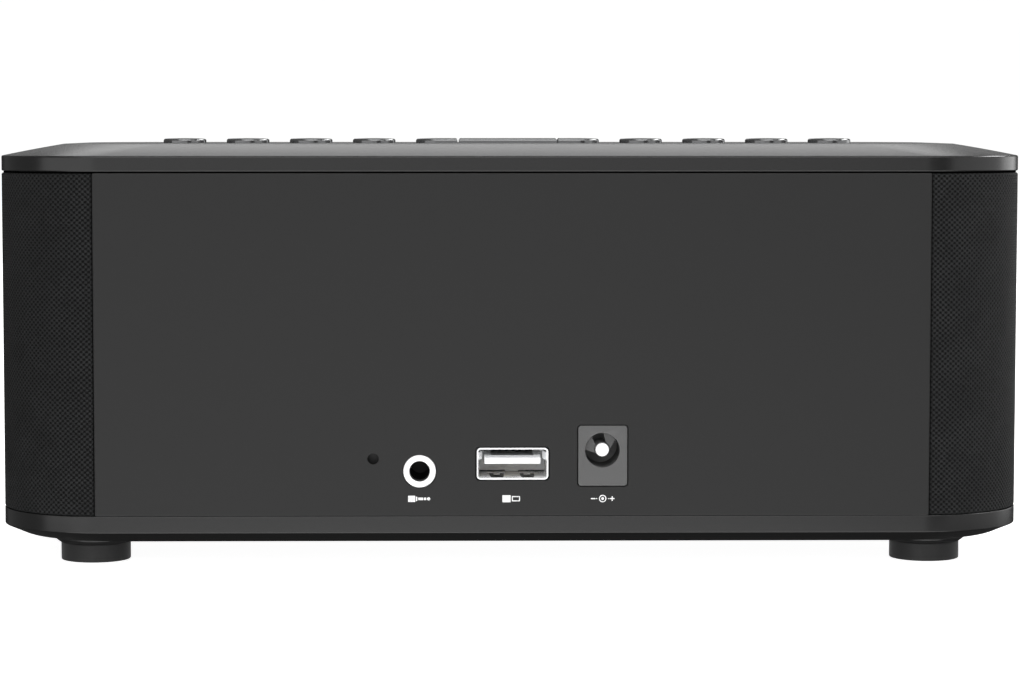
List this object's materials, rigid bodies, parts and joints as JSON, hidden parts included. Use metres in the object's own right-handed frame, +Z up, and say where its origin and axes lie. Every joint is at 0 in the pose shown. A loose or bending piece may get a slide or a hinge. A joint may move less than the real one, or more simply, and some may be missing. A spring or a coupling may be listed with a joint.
{
  "type": "tabletop radio",
  "caption": "Tabletop radio with a cloth-wrapped cabinet, bevelled top with push keys, front display and drivers, and rear AUX, USB and DC sockets on rubber feet.",
  "frame": {"origin": "centre of the plan outline on the surface that the feet stand on", "axes": "+Z up, front with the display faces -Y, rear with the sockets faces +Y, +X to the right as seen from the front"},
  "size_m": [0.1906, 0.1, 0.0787],
  "materials": {
    "cover_shell": "fine satin texture",
    "base_shell": "fine satin texture",
    "rear_shell": "fine matte texture",
    "cabinet_shell": "matte, moulded",
    "grille_cloth": "woven mesh, matte",
    "foot_rubber": "matte",
    "key_cap": "dark metallic satin",
    "key_rubber": "soft matte",
    "circuit_board": "solder mask",
    "components": "moulded",
    "tin_can": "tinned",
    "window": "smoked, polished",
    "bezel": "polished",
    "digits": "lit",
    "driver_steel": "black painted",
    "magnet": "ground ferrite",
    "surround": "matte",
    "spider": "treated cloth",
    "cone": "pressed paper",
    "coil": "copper winding",
    "gasket": "foam",
    "jack_plastic": "moulded",
    "jack_ring": "bright nickel",
    "usb_steel": "bright nickel",
    "usb_white": "moulded",
    "gold_contacts": "gold plated",
    "dc_plastic": "moulded",
    "dc_metal": "bright nickel",
    "fasteners": "zinc plated",
    "ribbon": "flexible",
    "lead_jacket": "flexible",
    "wire_jacket": "flexible"
  },
  "bodies": {
    "case": {"top_cover": "cover_shell", "cabinet": "cabinet_shell", "grille_cloth": "grille_cloth", "rear_panel": "rear_shell", "base_plate": "base_shell", "foot_front_left": "foot_rubber", "foot_front_right": "foot_rubber", "foot_rear_left": "foot_rubber", "foot_rear_right": "foot_rubber", "key_mat": "key_rubber", "key_board": "circuit_board", "main_board": "circuit_board", "board_parts": "components", "tuner_shield": "tin_can", "display_window": "window", "display_bezel": "bezel", "display_board": "circuit_board", "display_digits": "digits", "left_frame": "driver_steel", "left_magnet": "magnet", "left_surround": "surround", "left_spider": "spider", "right_frame": "driver_steel", "right_magnet": "magnet", "right_surround": "surround", "right_spider": "spider", "driver_gaskets": "gasket", "aux_jack_body": "jack_plastic", "aux_jack_ring": "jack_ring", "usb_shell": "usb_steel", "usb_insulator": "usb_white", "usb_contacts": "gold_contacts", "dc_jack_body": "dc_plastic", "dc_pin": "dc_metal", "reset_switch": "jack_plastic", "base_screws": "fasteners", "panel_screws": "fasteners", "cover_screws": "fasteners", "driver_screws": "fasteners", "board_screws": "fasteners", "ribbon_cable": "ribbon", "driver_leads": "lead_jacket", "antenna_wire": "wire_jacket"},
    "key_1": {"key_1": "key_cap"},
    "key_2": {"key_2": "key_cap"},
    "key_3": {"key_3": "key_cap"},
    "key_4": {"key_4": "key_cap"},
    "key_5": {"key_5": "key_cap"},
    "key_6": {"key_6": "key_cap"},
    "key_7": {"key_7": "key_cap"},
    "key_8": {"key_8": "key_cap"},
    "bar_key_left": {"bar_key_left": "key_cap"},
    "bar_key_centre": {"bar_key_centre": "key_cap"},
    "bar_key_right": {"bar_key_right": "key_cap"},
    "left_moving_cone": {"left_cone": "cone", "left_coil": "coil"},
    "right_moving_cone": {"right_cone": "cone", "right_coil": "coil"},
    "reset_button": {"reset_button": "jack_plastic"}
  },
  "joints": [
    {"name": "key_1_press", "type": "slide", "parent": "case", "child": "key_1", "axis": [0, 0, -1], "range_m": [0, 0.0008], "stiffness_N_per_m": 900, "springref_m": -0.0006, "deforming": ["key_mat"]},
    {"name": "key_2_press", "type": "slide", "parent": "case", "child": "key_2", "axis": [0, 0, -1], "range_m": [0, 0.0008], "stiffness_N_per_m": 900, "springref_m": -0.0006, "deforming": ["key_mat"]},
    {"name": "key_3_press", "type": "slide", "parent": "case", "child": "key_3", "axis": [0, 0, -1], "range_m": [0, 0.0008], "stiffness_N_per_m": 900, "springref_m": -0.0006, "deforming": ["key_mat"]},
    {"name": "key_4_press", "type": "slide", "parent": "case", "child": "key_4", "axis": [0, 0, -1], "range_m": [0, 0.0008], "stiffness_N_per_m": 900, "springref_m": -0.0006, "deforming": ["key_mat"]},
    {"name": "key_5_press", "type": "slide", "parent": "case", "child": "key_5", "axis": [0, 0, -1], "range_m": [0, 0.0008], "stiffness_N_per_m": 900, "springref_m": -0.0006, "deforming": ["key_mat"]},
    {"name": "key_6_press", "type": "slide", "parent": "case", "child": "key_6", "axis": [0, 0, -1], "range_m": [0, 0.0008], "stiffness_N_per_m": 900, "springref_m": -0.0006, "deforming": ["key_mat"]},
    {"name": "key_7_press", "type": "slide", "parent": "case", "child": "key_7", "axis": [0, 0, -1], "range_m": [0, 0.0008], "stiffness_N_per_m": 900, "springref_m": -0.0006, "deforming": ["key_mat"]},
    {"name": "key_8_press", "type": "slide", "parent": "case", "child": "key_8", "axis": [0, 0, -1], "range_m": [0, 0.0008], "stiffness_N_per_m": 900, "springref_m": -0.0006, "deforming": ["key_mat"]},
    {"name": "bar_key_left_press", "type": "slide", "parent": "case", "child": "bar_key_left", "axis": [0, 0, -1], "range_m": [0, 0.0008], "stiffness_N_per_m": 900, "springref_m": -0.0006, "deforming": ["key_mat"]},
    {"name": "bar_key_centre_press", "type": "slide", "parent": "case", "child": "bar_key_centre", "axis": [0, 0, -1], "range_m": [0, 0.0008], "stiffness_N_per_m": 900, "springref_m": -0.0006, "deforming": ["key_mat"]},
    {"name": "bar_key_right_press", "type": "slide", "parent": "case", "child": "bar_key_right", "axis": [0, 0, -1], "range_m": [0, 0.0008], "stiffness_N_per_m": 900, "springref_m": -0.0006, "deforming": ["key_mat"]},
    {"name": "left_cone_travel", "type": "slide", "parent": "case", "child": "left_moving_cone", "axis": [0, -1, 0], "range_m": [-0.0008, 0.0008], "stiffness_N_per_m": 1500},
    {"name": "right_cone_travel", "type": "slide", "parent": "case", "child": "right_moving_cone", "axis": [0, -1, 0], "range_m": [-0.0008, 0.0008], "stiffness_N_per_m": 1500},
    {"name": "reset_press", "type": "slide", "parent": "case", "child": "reset_button", "axis": [0, -1, 0], "range_m": [0, 0.0003], "stiffness_N_per_m": 3000, "springref_m": -0.0002}
  ]
}
